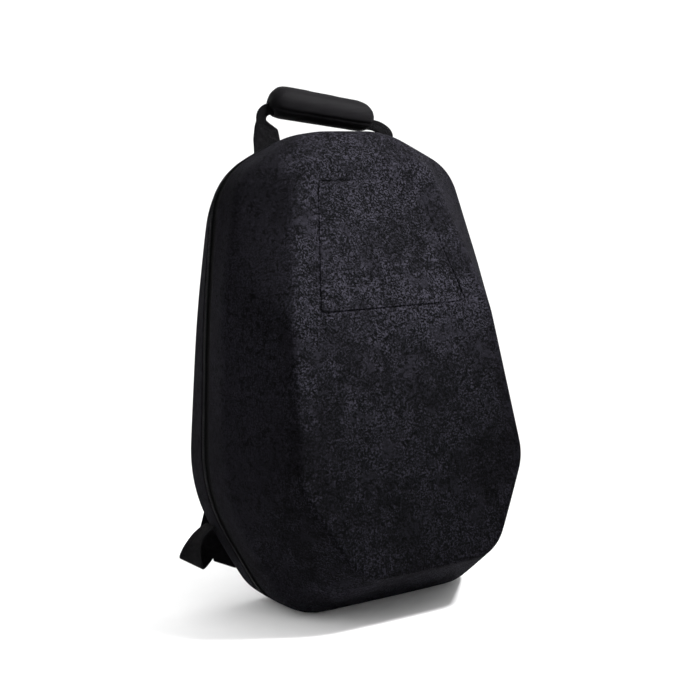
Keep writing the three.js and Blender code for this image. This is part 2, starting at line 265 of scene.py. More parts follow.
class StrapSettings(bpy.types.PropertyGroup):
    """Handle, shoulder straps and their fittings"""

    webbing_thickness: bpy.props.FloatProperty(
        name="Webbing Thickness", description="Thickness of the webbing", default=0.0018, unit="LENGTH"
    )
    webbing_width: bpy.props.FloatProperty(
        name="Webbing Width", description="Width of the lower webbing", default=0.025, unit="LENGTH"
    )
    weave: bpy.props.FloatProperty(
        name="Weave", description="Pitch of the webbing's ribs", default=0.0016, unit="LENGTH"
    )
    pad_swell: bpy.props.FloatProperty(
        name="Pad Swell", description="Most that the padding may move", default=0.005, unit="LENGTH"
    )
    grip_swell: bpy.props.FloatProperty(
        name="Grip Swell", description="Most that the grip may move", default=0.004, unit="LENGTH"
    )
    webbing_colour: bpy.props.FloatVectorProperty(
        name="Webbing", description="Colour of the webbing", size=4, subtype="COLOR",
        default=(0.0034, 0.0033, 0.0037, 1),
    )
    grip_colour: bpy.props.FloatVectorProperty(
        name="Grip", description="Colour of the grip's cloth", size=4, subtype="COLOR",
        default=(0.0041, 0.0039, 0.0044, 1),
    )
    pad_colour: bpy.props.FloatVectorProperty(
        name="Pads", description="Colour of the shoulder pads' cloth", size=4, subtype="COLOR",
        default=(0.00952, 0.00924, 0.01036, 1),
    )
    plastic_colour: bpy.props.FloatVectorProperty(
        name="Plastic", description="Colour of adjusters and slider", size=4, subtype="COLOR",
        default=(0.009, 0.009, 0.0096, 1),
    )


class StageSettings(bpy.types.PropertyGroup):
    """Floor, light and camera"""

    lens: bpy.props.FloatProperty(name="Lens", description="Focal length", default=53.75, unit="CAMERA")
    azimuth: bpy.props.FloatProperty(
        name="Azimuth", description="Camera's turn from the front", subtype="ANGLE",
        default=math.radians(-27),
    )
    elevation: bpy.props.FloatProperty(
        name="Elevation", description="Camera's angle above level", subtype="ANGLE",
        default=math.radians(2.9),
    )
    roll: bpy.props.FloatProperty(
        name="Roll", description="Camera's turn about its view", subtype="ANGLE",
        default=math.radians(-4.6),
    )
    distance: bpy.props.FloatProperty(
        name="Distance", description="Camera's distance from its aim", default=0.9959, unit="LENGTH"
    )
    floor: bpy.props.FloatVectorProperty(
        name="Floor", description="Colour of the floor", size=4, subtype="COLOR",
        default=(0.93, 0.93, 0.93, 1),
    )
    key: bpy.props.FloatProperty(
        name="Key", description="Power of the soft light", default=3.6, unit="POWER"
    )
    key_place: bpy.props.FloatVectorProperty(
        name="Key Place", description="Place of the soft light", subtype="TRANSLATION",
        default=(0.52, -0.58, 1.08),
    )
    key_aim: bpy.props.FloatVectorProperty(
        name="Key Aim", description="Point that the soft light faces", subtype="TRANSLATION",
        default=(-0.015, -0.06, 0.35),
    )
    key_size: bpy.props.FloatProperty(
        name="Key Size", description="Side of the soft light", default=0.36, unit="LENGTH"
    )
    key_spread: bpy.props.FloatProperty(
        name="Key Spread", description="Spread of the soft light", subtype="ANGLE",
        default=math.radians(32),
    )
    sky: bpy.props.FloatProperty(name="Sky", description="Strength of the even light", default=1.5)


# Selection and modifiers


def lone(piece):
    """Leaves one piece selected and active."""
    bpy.ops.object.select_all(action="DESELECT")
    piece.select_set(True)
    bpy.context.view_layer.objects.active = piece


def named(name):
    """Names the object that an operator has just added."""
    piece = bpy.context.object
    piece.name = name
    piece.data.name = name
    return piece


def open_edit(piece):
    """Opens a piece for editing with nothing selected."""
    lone(piece)
    bpy.ops.object.mode_set(mode="EDIT")
    bpy.ops.mesh.select_mode(type="VERT")
    bpy.ops.mesh.select_all(action="DESELECT")
    return bmesh.from_edit_mesh(piece.data)


def close_edit():
    """Goes back to object mode."""
    bpy.ops.object.mode_set(mode="OBJECT")


def modify(piece, kind, **settings):
    """Adds a modifier with its settings and applies it."""
    lone(piece)
    modifier = piece.modifiers.new(kind.title(), kind)
    for key, value in settings.items():
        setattr(modifier, key, value)
    bpy.ops.object.modifier_apply(modifier=modifier.name)


def subdivide(piece, levels):
    """Rounds a piece by subdivision."""
    modify(piece, "SUBSURF", levels=levels, render_levels=levels)


def smooth(piece, degrees):
    """Shades a piece smooth, but for edges sharper than an angle."""
    lone(piece)
    bpy.ops.object.shade_smooth_by_angle(angle=math.radians(degrees))


def settle(piece, material, slot, *nodes):
    """Puts a finished piece on the pack, in place of the CAD nodes that it stands for."""
    lone(piece)
    bpy.ops.object.transform_apply(location=True, rotation=True, scale=True)
    piece.data.materials.clear()
    piece.data.materials.append(material)
    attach(piece, "root")
    if nodes:
        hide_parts(*nodes)


def copy_of(node_name, name):
    """A merged copy of a CAD node's mesh, as the start of a piece."""
    piece = bpy.data.objects.new(name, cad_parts[node_name].data.copy())
    piece.data.name = name
    bpy.context.scene.collection.objects.link(piece)
    open_edit(piece)
    bpy.ops.mesh.select_all(action="SELECT")
    bpy.ops.mesh.remove_doubles(threshold=MERGE)
    bpy.ops.mesh.customdata_custom_splitnormals_clear()
    close_edit()
    return piece


def softened(node_name, name, width):
    """A copy of a moulded CAD node with its flat faces joined and its edges softened."""
    piece = copy_of(node_name, name)
    open_edit(piece)
    bpy.ops.mesh.select_all(action="SELECT")
    bpy.ops.mesh.dissolve_limited(angle_limit=math.radians(2))
    close_edit()
    modify(piece, "BEVEL", width=width, segments=3, limit_method="ANGLE")
    smooth(piece, 35)
    return piece


# Outlines and rows of points


def at(x, y, z):
    """A table's point in the pack's frame."""
    return Vector((x * MM, ORIGIN_Y + y * MM, z * MM))


def panel_depth(z):
    """Depth of the front panel's two facets at a height."""
    far_z, far_depth = PANEL_TOP if z > KNEE_Z else PANEL_FOOT
    return KNEE_DEPTH + (far_depth - KNEE_DEPTH) * (z - KNEE_Z) / (far_z - KNEE_Z)


def eased(corners, steps):
    """Closed row of points through corners given as point and reach, each corner eased by a curve."""
    points = []
    for i, (corner, reach) in enumerate(corners):
        before = corners[i - 1][0] - corner
        after = corners[(i + 1) % len(corners)][0] - corner
        start = corner + before * min(reach / before.length, 0.49)
        end = corner + after * min(reach / after.length, 0.49)
        for k in range(steps + 1):
            t = k / steps
            points.append(start * (1 - t) ** 2 + corner * (2 * t * (1 - t)) + end * t**2)
    return points


def outline(section, y_at, steps):
    """Outline of one section of the pack, from its crown down the right side and up the left."""
    right = []
    for corner in CORNERS:
        x, z, reach = corner[section]
        right.append((at(x, y_at(z), z), reach * MM))
    left = [(Vector((-p.x, p.y, p.z)), reach) for p, reach in reversed(right)]
    return eased(right + left, steps)


def inset(ring, distance):
    """An upright outline moved inwards in its own plane."""
    centre = sum(ring, Vector()) / len(ring)
    moved = []
    for i, point in enumerate(ring):
        along = ring[(i + 1) % len(ring)] - ring[i - 1]
        inwards = Vector((along.z, 0, -along.x)).normalized()
        if inwards.dot(centre - point) < 0:
            inwards = -inwards
        moved.append(point + inwards * distance)
    return moved


def run_lengths(points):
    """Distance along a row of points."""
    total = [0.0]
    for a, b in zip(points, points[1:]):
        total.append(total[-1] + (b - a).length)
    return total


def spread(rows, per_row):
    """Rows of a table with more rows blended in between, its places on a smooth path."""
    table = [[float(value) for value in row] for row in rows]
    blended = []
    for i in range(len(table) - 1):
        for k in range(per_row):
            t = k / per_row
            a, b = table[i], table[i + 1]
            before, after = table[max(i - 1, 0)], table[min(i + 2, len(table) - 1)]
            row = [x + (y - x) * t for x, y in zip(a, b)]
            for axis in range(3):
                rise = (b[axis] - before[axis]) / 2
                fall = (after[axis] - a[axis]) / 2
                row[axis] = (
                    (2 * t**3 - 3 * t**2 + 1) * a[axis]
                    + (t**3 - 2 * t**2 + t) * rise
                    + (3 * t**2 - 2 * t**3) * b[axis]
                    + (t**3 - t**2) * fall
                )
            blended.append(row)
    blended.append(table[-1])
    return blended


def mirrored(rows):
    """Rows of a right-hand strap turned into those of the left-hand one."""
    return [(-row[0], row[1], row[2], 180 - row[3], *row[4:]) for row in rows]


def stations(rows):
    """Centre, width direction and facing direction of each row of a strap, with its other columns."""
    centres = [at(*row[:3]) for row in rows]
    found = []
    for i, row in enumerate(rows):
        along = centres[min(i + 1, len(rows) - 1)] - centres[max(i - 1, 0)]
        turn = math.radians(row[3])
        across = Vector((math.cos(turn), 0, math.sin(turn)))
        found.append((centres[i], across, across.cross(along).normalized(), row[4:]))
    return found


# Starting shapes


def ring_sheet(name, rings):
    """A circle set on the first ring and extruded from ring to ring. The piece stays open for editing."""
    bpy.ops.object.select_all(action="DESELECT")
    bpy.ops.mesh.primitive_circle_add(vertices=len(rings[0]), radius=0.1)
    piece = named(name)
    mesh = open_edit(piece)
    mesh.verts.layers.int.new("place")
    mesh.verts.layers.int.new("level")
    place = mesh.verts.layers.int["place"]
    for i, vertex in enumerate(mesh.verts):
        vertex[place] = i
        vertex.co = rings[0][i]
    bmesh.update_edit_mesh(piece.data)
    bpy.ops.mesh.select_all(action="SELECT")
    for step, ring in enumerate(rings[1:], 1):
        bpy.ops.mesh.extrude_region_move()
        mesh = bmesh.from_edit_mesh(piece.data)
        place = mesh.verts.layers.int["place"]
        level = mesh.verts.layers.int["level"]
        for vertex in mesh.verts:
            if vertex.select:
                vertex[level] = step
                vertex.co = ring[vertex[place]]
        bmesh.update_edit_mesh(piece.data)
    return piece


def pick_level(piece, number, halves=False):
    """Selects the edges of one ring, or only those of its right and left halves."""
    bpy.ops.mesh.select_mode(type="EDGE")
    bpy.ops.mesh.select_all(action="DESELECT")
    mesh = bmesh.from_edit_mesh(piece.data)
    level = mesh.verts.layers.int["level"]
    for edge in mesh.edges:
        a, b = edge.verts
        if a[level] == b[level] == number and not (halves and a.co.x * b.co.x < 0):
            edge.select_set(True)
    bmesh.update_edit_mesh(piece.data)


def ease_level(piece, number, reach, segments):
    """Bevels the edges of one ring."""
    pick_level(piece, number)
    bpy.ops.mesh.bevel(
        offset_type="ABSOLUTE", offset=reach, segments=segments, profile=0.5, affect="EDGES"
    )


def moulded_half(name, mouth, walls, centre, eases, thickness):
    """Half of the shell: from its mouth over eased rings of wall to a face round a centre."""
    lip = [a.lerp(b, LIP_SHARE) for a, b in zip(mouth, walls[0])]
    field = [centre.lerp(point, FIELD_SHARE) for point in walls[-1]]
    beginning = [mouth, lip]
    piece = ring_sheet(name, [*beginning, *walls, field])
    pick_level(piece, len(beginning) + len(walls), halves=True)
    bpy.ops.mesh.bridge_edge_loops(number_cuts=FIELD_CUTS, interpolation="LINEAR")
    for level, (reach, segments) in enumerate(eases, len(beginning)):
        ease_level(piece, level, reach, segments)
    bpy.ops.mesh.select_all(action="SELECT")
    bpy.ops.mesh.normals_make_consistent(inside=False)
    close_edit()
    modify(piece, "SOLIDIFY", thickness=thickness, offset=-1, use_even_offset=True)
    subdivide(piece, 2)
    return piece


def ribbon(name, rows, closed=False):
    """A grid laid along rows of points. Its UV map is in metres, across and then along."""
    rows = [*rows, rows[0]] if closed else rows
    columns = len(rows[0])
    bpy.ops.object.select_all(action="DESELECT")
    bpy.ops.mesh.primitive_grid_add(x_subdivisions=columns - 1, y_subdivisions=len(rows) - 1, size=1)
    piece = named(name)
    for vertex, point in zip(piece.data.vertices, [p for row in rows for p in row]):
        vertex.co = point
    along = run_lengths([row[columns // 2] for row in rows])
    widest = max((run_lengths(row) for row in rows), key=lambda across: across[-1])
    for loop, corner in zip(piece.data.loops, piece.data.uv_layers.active.data):
        row, column = divmod(loop.vertex_index, columns)
        corner.uv = (widest[column] - widest[-1] / 2, along[row])
    if closed:
        open_edit(piece)
        bpy.ops.mesh.select_all(action="SELECT")
        bpy.ops.mesh.remove_doubles(threshold=MERGE)
        close_edit()
    return piece


def ring_curve(name, points):
    """A closed curve through a ring of points."""
    ring_sheet(name, [points])
    close_edit()
    bpy.ops.object.convert(target="CURVE")
    return bpy.context.object


def tube(name, points, radius):
    """A closed round tube along a ring of points."""
    piece = ring_curve(name, points)
    piece.data.bevel_depth = radius
    piece.data.bevel_resolution = 3
    bpy.ops.object.convert(target="MESH")
    return bpy.context.object


def stuff(piece, voxel, shrink, cap, levels):
    """Fills a closed piece: even faces, a slightly smaller start, cloth under pressure, a capped move."""
    lone(piece)
    piece.data.remesh_voxel_size = voxel
    bpy.ops.object.voxel_remesh()
    for vertex, normal in zip(piece.data.vertices, [v.normal.copy() for v in piece.data.vertices]):
        vertex.co -= normal * shrink
    rest = [vertex.co.copy() for vertex in piece.data.vertices]
    cloth = piece.modifiers.new("Filling", "CLOTH")
    cloth.settings.use_pressure = True
    cloth.settings.uniform_pressure_force = FILL_PRESSURE
    cloth.settings.effector_weights.gravity = 0
    for moment in range(1, FILL_MOMENTS + 1):
        bpy.context.scene.frame_set(moment)
    bpy.ops.object.modifier_apply(modifier=cloth.name)
    bpy.context.scene.frame_set(1)
    for vertex, start in zip(piece.data.vertices, rest):
        move = vertex.co - start
        if move.length > cap:
            vertex.co = start + move * (cap / move.length)
    subdivide(piece, levels)
    smooth(piece, 60)


# Node groups


def node(tree, kind, inputs=None, **settings):
    """Adds a node, with its settings and with values or links on its inputs."""
    made = tree.nodes.new(kind)
    for key, value in settings.items():
        setattr(made, key, value)
    for key, value in (inputs or {}).items():
        if isinstance(value, bpy.types.NodeSocket):
            tree.links.new(value, made.inputs[key])
        else:
            made.inputs[key].default_value = value
    return made


def new_group(name, inputs, outputs):
    """A shader group with a vector and named numbers going in, and named numbers coming out."""
    group = bpy.data.node_groups.new(name, "ShaderNodeTree")
    group.interface.new_socket("Vector", in_out="INPUT", socket_type="NodeSocketVector")
    for label in inputs:
        group.interface.new_socket(label, in_out="INPUT", socket_type="NodeSocketFloat")
    for label in outputs:
        group.interface.new_socket(label, in_out="OUTPUT", socket_type="NodeSocketFloat")
    return group, node(group, "NodeGroupInput").outputs, node(group, "NodeGroupOutput").inputs


def fade(tree, value, low, high, to_low=0.0, to_high=1.0):
    """A value stretched between two limits with soft ends."""
    return node(
        tree, "ShaderNodeMapRange",
        {"Value": value, "From Min": low, "From Max": high, "To Min": to_low, "To Max": to_high},
        interpolation_type="SMOOTHSTEP",
    ).outputs["Result"]


def calc(tree, operation, first, second=0.0):
    """One step of arithmetic."""
    return node(tree, "ShaderNodeMath", {0: first, 1: second}, operation=operation).outputs[0]


def times(tree, first, second):
    """One value multiplied by another."""
    return calc(tree, "MULTIPLY", first, second)


def plus(tree, first, second):
    """One value added to another."""
    return calc(tree, "ADD", first, second)


def less(tree, first, second):
    """The second value taken from the first."""
    return calc(tree, "SUBTRACT", first, second)


def noise(tree, vector, scale, detail=2.0, roughness=0.5, distortion=0.0):
    """Noise that is one number."""
    values = {"Vector": vector, "Scale": scale, "Detail": detail}
    values |= {"Roughness": roughness, "Distortion": distortion}
    return node(tree, "ShaderNodeTexNoise", values).outputs["Fac"]


def crushed_nap_group():
    """Pile pressed in different directions: raised tips with painted light and shade, crushed marks and
    the height of both.
    """
    group, given, out = new_group("crushed_nap", ["Patch Scale", "Tip Scale"], ["Tips", "Crush", "Height"])
    point = given["Vector"]
    scale = given["Patch Scale"]
    wide = noise(group, point, times(group, scale, 0.16))
    broad = noise(group, point, times(group, scale, 0.5), detail=3.0, roughness=0.6, distortion=0.8)
    patch = noise(group, point, scale, detail=5.0, roughness=0.68, distortion=0.7)
    marks = noise(group, point, times(group, scale, 2.4), detail=4.0, roughness=0.7, distortion=1.4)
    tips = noise(group, point, given["Tip Scale"], detail=3.0, roughness=0.7)

    # Painted light and shade by height above the floor: a darker lower front, a lighter upper front, a
    # darker crown and a much lighter foot in place of light bounced up from the floor; and painted shade
    # on the side facets beside the front panel, over their upper part.
    place = node(group, "ShaderNodeSeparateXYZ", {0: point}).outputs
    upper = fade(group, place["Z"], 0.155, 0.285, 0.64, 1.2)
    crown = fade(group, place["Z"], 0.29, 0.43, 1.0, 0.79)
    foot_painted_light = fade(group, place["Z"], 0.03, 0.055, 2.2, 1.0)
    flare = plus(group, calc(group, "ABSOLUTE", place["X"]), times(group, place["Z"], 0.165))
    beside_painted_shade = fade(group, flare, 0.138, 0.156)
    sideways = times(group, beside_painted_shade, fade(group, place["Z"], 0.17, 0.3, 0.0, 0.36))
    height = times(group, times(group, upper, crown), foot_painted_light)
    painted_light_and_shade = times(group, height, less(group, 1.0, sideways))

    # Standing pile sparkles at its tips, and lying pile has an even tone.
    drift = plus(group, patch, times(group, less(group, wide, 0.5), 0.9))
    loose = fade(group, drift, 0.4, 0.6, 0.35, 1.0)
    sparkle = times(group, fade(group, tips, 0.45, 0.6), loose)
    patches = fade(group, broad, 0.56, 0.66, 0.0, 0.75)
    # The side facets also take part of the lying pile's even tone: painted shade that dims their speckle.
    lying = calc(group, "MAXIMUM", patches, times(group, beside_painted_shade, 0.5))
    standing = times(group, sparkle, less(group, 0.94, lying))
    pile = plus(group, standing, times(group, lying, 0.34))
    # The pile's tone times the painted light and shade.
    raised = times(group, plus(group, pile, 0.06), painted_light_and_shade)

    crush = fade(group, marks, 0.5, 0.6)
    tie = group.links.new
    tie(raised, out["Tips"])
    tie(crush, out["Crush"])
    tie(less(group, tips, times(group, crush, 0.5)), out["Height"])
    return group


def weave_group():
    """Ribs of a woven band with worn places, from its UV map in metres: thread tone and height."""
    group, given, out = new_group("band_weave", ["Pitch"], ["Thread", "Height"])
    point = given["Vector"]
    place = node(group, "ShaderNodeSeparateXYZ", {0: point}).outputs
    turn = calc(group, "DIVIDE", 2 * math.pi, given["Pitch"])
    across = calc(group, "SINE", times(group, place["X"], turn))
    slant = plus(group, place["Y"], times(group, calc(group, "ABSOLUTE", across), 0.0003))
    along = calc(group, "SINE", times(group, slant, turn))
    fuzz = noise(group, point, 900.0)
    ribs = plus(group, times(group, times(group, across, along), 0.5), fuzz)
    wear = less(group, noise(group, point, 210.0, detail=3.0, roughness=0.6), 0.5)
    tie = group.links.new
    tie(fade(group, plus(group, ribs, times(group, wear, 2.4)), -0.1, 1.0), out["Thread"])
    tie(plus(group, ribs, times(group, wear, 6.0)), out["Height"])
    return group


def grain_group():
    """Fine grain with slow drifts of tone, for moulded and smooth surfaces."""
    group, given, out = new_group("fine_grain", ["Scale"], ["Drift", "Height"])
    drift = noise(group, given["Vector"], 45.0, detail=4.0, roughness=0.6)
    tie = group.links.new
    tie(fade(group, drift, 0.3, 0.7), out["Drift"])
    tie(noise(group, given["Vector"], given["Scale"], detail=3.0, roughness=0.6), out["Height"])
    return group


# Materials


def finish(name, rough, specular, **settings):
    """A material with its shader, and constants on the shader's own sockets."""
    material = bpy.data.materials.new(name)
    material.use_nodes = True
    tree = material.node_tree
    shader = tree.nodes["Principled BSDF"]
    shader.inputs["Roughness"].default_value = rough
    shader.inputs["Specular IOR Level"].default_value = specular
    for key, value in settings.items():
        shader.inputs[key.replace("_", " ").title()].default_value = value
    return material, tree, shader


def use_group(tree, name, maker, inputs):
    """Places a shared group, which is made once."""
    group = bpy.data.node_groups.get(name) or maker()
    return node(tree, "ShaderNodeGroup", inputs, node_tree=group).outputs


def paint(tree, shader, low, high, amount):
    """Base colour between two colours, on the Mix node's colour sockets."""
    blend = node(tree, "ShaderNodeMix", data_type="RGBA")
    blend.inputs[6].default_value = low
    blend.inputs[7].default_value = high
    tree.links.new(amount, blend.inputs[0])
    tree.links.new(blend.outputs[2], shader.inputs["Base Color"])


def emboss(tree, shader, height, distance, strength):
    """Relief from a height."""
    bump = node(tree, "ShaderNodeBump", {"Height": height, "Distance": distance, "Strength": strength})
    tree.links.new(bump.outputs["Normal"], shader.inputs["Normal"])


def tinted(colour, factor):
    """A colour made darker or lighter."""
    return (colour[0] * factor, colour[1] * factor, colour[2] * factor, 1)


def charcoal_nap(name, shell):
    """Charcoal cover with a crushed nap."""
    sheen = {"sheen_weight": 0.004, "sheen_roughness": 0.4, "sheen_tint": (0.72, 0.74, 0.95, 1)}
    material, tree, shader = finish(name, rough=0.95, specular=0.02, **sheen)
    place = node(tree, "ShaderNodeTexCoord").outputs["Object"]
    scales = {"Vector": place, "Patch Scale": 75.0, "Tip Scale": 600.0}
    nap = use_group(tree, "crushed_nap", crushed_nap_group, scales)
    # The tips carry the painted light and shade by height and on the side facets.
    amount = times(tree, nap["Tips"], less(tree, 1.0, times(tree, nap["Crush"], 0.8)))
    paint(tree, shader, tuple(shell.nap_dark), tuple(shell.nap_light), amount)
    emboss(tree, shader, nap["Height"], distance=0.0009, strength=0.8)
    return material


def banded(name, colour, pitch, rough, depth):
    """Woven band, on the piece's UV map."""
    material, tree, shader = finish(name, rough, specular=0.015, sheen_weight=0.002, sheen_roughness=0.5)
    place = node(tree, "ShaderNodeUVMap").outputs["UV"]
    weave = use_group(tree, "band_weave", weave_group, {"Vector": place, "Pitch": pitch})
    paint(tree, shader, tinted(colour, 0.45), tinted(colour, 1.35), weave["Thread"])
    emboss(tree, shader, weave["Height"], depth, strength=0.8)
    return material


def padded_cloth(name, colour, rough, scale, stretch):
    """Cloth over padding, with a fine grain that can be drawn out along the piece."""
    material, tree, shader = finish(name, rough, specular=0.015, sheen_weight=0.002, sheen_roughness=0.4)
    place = node(tree, "ShaderNodeTexCoord").outputs["Object"]
    drawn = node(tree, "ShaderNodeMapping", {"Vector": place, "Scale": stretch}).outputs["Vector"]
    grain = use_group(tree, "fine_grain", grain_group, {"Vector": drawn, "Scale": scale})
    paint(tree, shader, tinted(colour, 0.75), tinted(colour, 1.25), grain["Drift"])
    emboss(tree, shader, grain["Height"], distance=0.0006, strength=0.45)
    return material


def moulded(name, colour, specular):
    """Moulded plastic with a fine grain."""
    material, tree, shader = finish(name, rough=0.5, specular=specular)
    place = node(tree, "ShaderNodeTexCoord").outputs["Object"]
    grain = use_group(tree, "fine_grain", grain_group, {"Vector": place, "Scale": 1400.0})
    paint(tree, shader, tinted(colour, 0.85), tinted(colour, 1.2), grain["Drift"])
    tree.links.new(fade(tree, grain["Drift"], 0.0, 1.0, 0.38, 0.52), shader.inputs["Roughness"])
    emboss(tree, shader, grain["Height"], distance=0.0002, strength=0.4)
    return material


def pale_floor(name, colour):
    """Matt studio floor."""
    material, tree, shader = finish(name, rough=0.9, specular=0.1)
    place = node(tree, "ShaderNodeTexCoord").outputs["Object"]
    grain = use_group(tree, "fine_grain", grain_group, {"Vector": place, "Scale": 20.0})
    paint(tree, shader, tinted(colour, 0.99), tinted(colour, 1.0), grain["Drift"])
    return material


def kept(name, maker, *given, **settings):
    """A material that several pieces share, made once."""
    return bpy.data.materials.get(name) or maker(name, *given, **settings)


def webbing_cloth(straps):
    """Ribbed webbing of the handle, the straps and the pads' bindings."""
    return kept("ribbed_webbing", banded, straps.webbing_colour, straps.weave, rough=0.7, depth=0.0005)


def black_plastic(straps):
    """Moulded plastic of the adjusters and the slider."""
    return kept("moulded_black", moulded, straps.plastic_colour, specular=0.2)


# Pieces


class FrontShell(bpy.types.Operator):
    """Front shell: belt, side facets and the two-facet panel with its debossed frame"""

    bl_idname = "backpack.front_shell"
    bl_label = "Front Shell"

    def execute(self, context):
        shell = context.scene.backpack_shell
        mouth = outline(SEAM, lambda z: ZIP_FRONT, shell.steps)
        belt = outline(BELT, lambda z: -BELT_DEPTH, shell.steps)
        edge = outline(PANEL, lambda z: -panel_depth(z), shell.steps)
        knee = at(0, -KNEE_DEPTH, KNEE_Z)
        eases = [(shell.belt_edge, 3), (shell.panel_edge, 5)]
        piece = moulded_half("front_cover", mouth, [belt, edge], knee, eases, shell.wall)
        self.deboss(piece, shell.groove)
        smooth(piece, 40)
        settle(piece, kept("charcoal_nap", charcoal_nap, shell), "napped_cover", "front_shell")
        return {"FINISHED"}

    def deboss(self, piece, radius):
        """Cuts the frame's line into the upper facet."""
        lean = math.atan2(KNEE_DEPTH - PANEL_TOP[1], PANEL_TOP[0] - KNEE_Z)
        outwards = Vector((0, -math.cos(lean), math.sin(lean))) * radius
        path = []
        for x, z, lift in FRAME_CORNERS:
            path.append((at(x, -panel_depth(z), z) + outwards * lift, FRAME_EASE))
        cutter = tube("frame_cutter", eased(path, 6), radius)
        modify(piece, "BOOLEAN", object=cutter, operation="DIFFERENCE", solver="EXACT")
        bpy.data.objects.remove(cutter)


class BackShell(bpy.types.Operator):
    """Back shell: the shallow half that the straps are sewn to"""

    bl_idname = "backpack.back_shell"
    bl_label = "Back Shell"

    def execute(self, context):
        shell = context.scene.backpack_shell
        mouth = outline(SEAM, lambda z: ZIP_BACK, shell.steps)
        edge = outline(BACK, lambda z: BACK_DEPTH, shell.steps)
        centre = at(0, BACK_DEPTH, BACK_CENTRE_Z)
        piece = moulded_half("back_cover", mouth, [edge], centre, [(shell.back_edge, 4)], shell.wall)
        smooth(piece, 40)
        settle(piece, kept("charcoal_nap", charcoal_nap, shell), "napped_cover", "back_shell")
        return {"FINISHED"}


class Zip(bpy.types.Operator):
    """Zip: woven tape round the seam, its closed row of teeth, and the slider"""

    bl_idname = "backpack.zip"
    bl_label = "Zip"

    def execute(self, context):
        zips = context.scene.backpack_zip
        steps = context.scene.backpack_shell.steps
        self.tape(zips, steps)
        self.teeth(zips, steps)
        self.slider(context.scene.backpack_straps)
        return {"FINISHED"}

    def tape(self, zips, steps):
        """Woven band below the shells' edges."""
        ring = inset(outline(SEAM, lambda z: 0, steps), zips.tape_inset)
        front = ZIP_FRONT + TAPE_PLAY
        width = ZIP_BACK - ZIP_FRONT - 2 * TAPE_PLAY
        cells = 8
        across = [Vector((0, (front + width * k / cells) * MM, 0)) for k in range(cells + 1)]
        rows = [[point + place for place in across] for point in ring]
        piece = ribbon("zip_band", rows, closed=True)
        modify(piece, "SOLIDIFY", thickness=zips.tape_thickness, offset=0)
        smooth(piece, 40)
        material = banded("woven_tape", zips.tape_colour, pitch=0.0012, rough=0.85, depth=0.0003)
        settle(piece, material, "zip_tape", "zip_tape")

    def teeth(self, zips, steps):
        """One pair of hooked teeth, repeated along the seam."""
        ring = inset(outline(SEAM, lambda z: 0, steps), zips.teeth_inset)
        flat = [Vector((p.x, p.z, 0)) for p in ring]
        length = run_lengths([*flat, flat[0]])[-1]
        count = round(length / zips.pitch)
        pitch = length / count
        tooth_size = (pitch * 0.46, 0.0010, zips.reach * 1.24)
        halves = []
        for side in (-1, 1):
            bpy.ops.object.select_all(action="DESELECT")
            place = (pitch * (0.5 + side / 4), 0, side * zips.reach * 0.38)
            bpy.ops.mesh.primitive_cube_add(size=1, location=place)
            half = named("tooth")
            half.scale = tooth_size
            bpy.ops.object.transform_apply(location=True, rotation=True, scale=True)
            modify(half, "BEVEL", width=0.00022, segments=1)
            halves.append(half)
        lone(halves[0])
        halves[1].select_set(True)
        bpy.ops.object.join()
        piece = named("zip_teeth")
        path = ring_curve("zip_path", flat)
        path.data.dimensions = "2D"
        modify(
            piece, "ARRAY", fit_type="FIXED_COUNT", count=count, use_relative_offset=False,
            use_constant_offset=True, constant_offset_displace=(pitch, 0, 0),
        )
        modify(piece, "CURVE", object=path, deform_axis="POS_X")
        bpy.data.objects.remove(path)
        piece.rotation_euler = (math.pi / 2, 0, 0)
        piece.location = (0, sum(corner.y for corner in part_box("zip_coil")) / 2, 0)
        smooth(piece, 50)
        settle(piece, moulded("nylon_teeth", zips.teeth_colour, specular=0.01), "zip_coil", "zip_coil")

    def slider(self, straps):
        """Slider body and pull with softened edges."""
        piece = softened("zip_slider", "zip_runner", 0.0005)
        settle(piece, black_plastic(straps), "black_plastic", "zip_slider")


